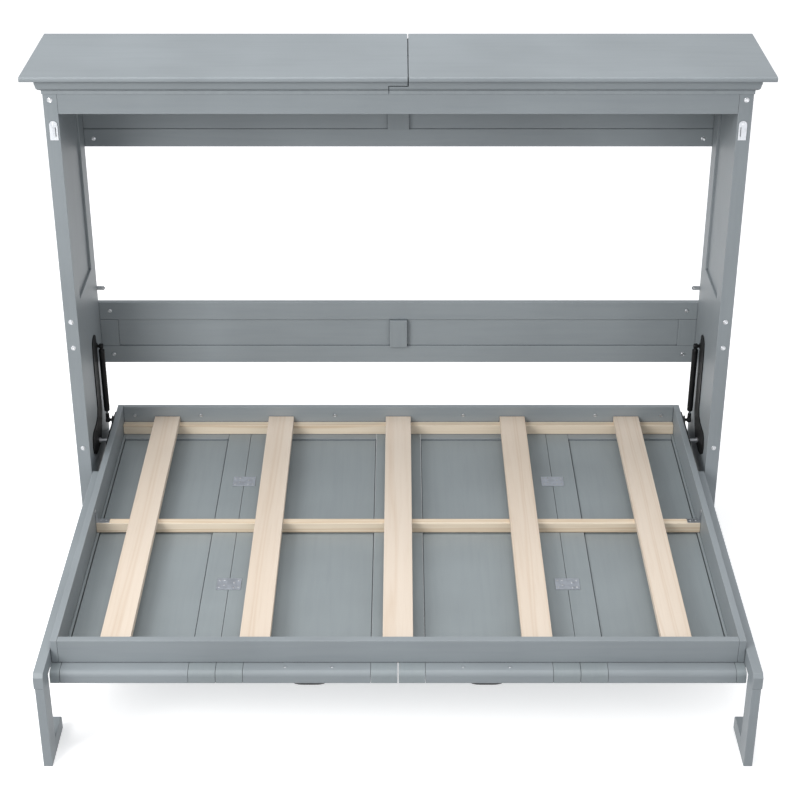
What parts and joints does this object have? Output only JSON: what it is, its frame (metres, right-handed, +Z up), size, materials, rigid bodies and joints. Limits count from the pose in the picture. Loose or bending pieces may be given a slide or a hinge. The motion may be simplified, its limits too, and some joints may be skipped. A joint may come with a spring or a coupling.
{
  "type": "murphy wall bed",
  "caption": "Horizontal murphy wall bed: shallow painted cabinet with a side-tilting slatted bed frame on pivot pins and gas struts, and sliding support leg frames.",
  "frame": {"origin": "floor level under the middle of the whole bed when lowered", "axes": "+Z up, -Y the front where the bed comes down, +X to the right seen from the front"},
  "size_m": [2.26, 1.547, 1.693],
  "materials": {
    "paint": "satin cool grey paint over wood and MDF",
    "slat_wood": "planed pale poplar",
    "beam_wood": "planed pine",
    "zinc_steel": "bright zinc plate",
    "black_steel": "semi-gloss black coat",
    "black_pull": "matt black coat"
  },
  "bodies": {
    "cabinet": {"side_panel_left": "paint", "side_panel_right": "paint", "top_board_left": "paint", "top_board_right": "paint", "crown_front_left": "paint", "crown_front_right": "paint", "crown_side_left": "paint", "crown_side_right": "paint", "fascia": "paint", "top_rear_rail": "paint", "top_rear_panel": "paint", "top_rear_batten": "paint", "mid_back_lower_rail": "paint", "mid_back_panel": "paint", "mid_back_upper_rail": "paint", "mid_back_batten": "paint", "wall_tab_left": "zinc_steel", "wall_tab_right": "zinc_steel", "latch_plate_left": "zinc_steel", "latch_plate_right": "zinc_steel", "hinge_plate_left": "black_steel", "hinge_plate_right": "black_steel", "pivot_pin_left": "zinc_steel", "pivot_pin_right": "zinc_steel"},
    "bed_frame": {"side_rail_left": "paint", "side_rail_right": "paint", "front_rail": "paint", "rear_rail": "paint", "rear_beam": "beam_wood", "middle_beam": "beam_wood", "front_beam": "beam_wood", "slat_1": "slat_wood", "slat_2": "slat_wood", "slat_3": "slat_wood", "slat_4": "slat_wood", "slat_5": "slat_wood", "door_outer_left": "paint", "door_inner_left": "paint", "door_inner_right": "paint", "door_outer_right": "paint", "cup_pull_left": "black_pull", "cup_pull_right": "black_pull", "beam_bracket_left": "zinc_steel", "beam_bracket_right": "zinc_steel", "mending_plate_front_left": "zinc_steel", "mending_plate_front_right": "zinc_steel", "mending_plate_rear_left": "zinc_steel", "mending_plate_rear_right": "zinc_steel", "bed_plate_left": "black_steel", "bed_plate_right": "black_steel"},
    "leg_frame_left": {"leg_arm_left": "paint", "leg_post_left": "paint", "leg_foot_left": "paint"},
    "strut_tube_left": {"strut_tube_left": "black_steel"},
    "strut_rod_left": {"strut_rod_left": "zinc_steel"},
    "leg_frame_right": {"leg_arm_right": "paint", "leg_post_right": "paint", "leg_foot_right": "paint"},
    "strut_tube_right": {"strut_tube_right": "black_steel"},
    "strut_rod_right": {"strut_rod_right": "zinc_steel"}
  },
  "joints": [
    {"name": "bed_fold", "type": "hinge", "parent": "cabinet", "child": "bed_frame", "pos_m": [0, 0.5308, 0.3407], "axis": [-1, 0, 0], "range_deg": [0, 90]},
    {"name": "leg_slide_left", "type": "slide", "parent": "bed_frame", "child": "leg_frame_left", "axis": [0, 1, 0], "range_m": [0, 0.0861]},
    {"name": "strut_swing_left", "type": "hinge", "parent": "cabinet", "child": "strut_tube_left", "pos_m": [0, 0.6425, 0.645], "axis": [-1, 0, 0], "range_deg": [0, 13.94]},
    {"name": "strut_extend_left", "type": "slide", "parent": "strut_tube_left", "child": "strut_rod_left", "axis": [0, 0.0173, -0.9999], "range_m": [0, 0.1434]},
    {"name": "leg_slide_right", "type": "slide", "parent": "bed_frame", "child": "leg_frame_right", "axis": [0, 1, 0], "range_m": [0, 0.0861]},
    {"name": "strut_swing_right", "type": "hinge", "parent": "cabinet", "child": "strut_tube_right", "pos_m": [0, 0.6425, 0.645], "axis": [-1, 0, 0], "range_deg": [0, 13.94]},
    {"name": "strut_extend_right", "type": "slide", "parent": "strut_tube_right", "child": "strut_rod_right", "axis": [0, 0.0173, -0.9999], "range_m": [0, 0.1434]}
  ],
  "couplings": [
    {"joint": "leg_slide_left", "follows": "bed_fold", "m_per_rad": 0.05475},
    {"joint": "strut_swing_left", "follows": "bed_fold", "ratio": 0.15431},
    {"joint": "strut_extend_left", "follows": "bed_fold", "m_per_rad": 0.09094},
    {"joint": "leg_slide_right", "follows": "bed_fold", "m_per_rad": 0.05475},
    {"joint": "strut_swing_right", "follows": "bed_fold", "ratio": 0.15431},
    {"joint": "strut_extend_right", "follows": "bed_fold", "m_per_rad": 0.09094}
  ]
}
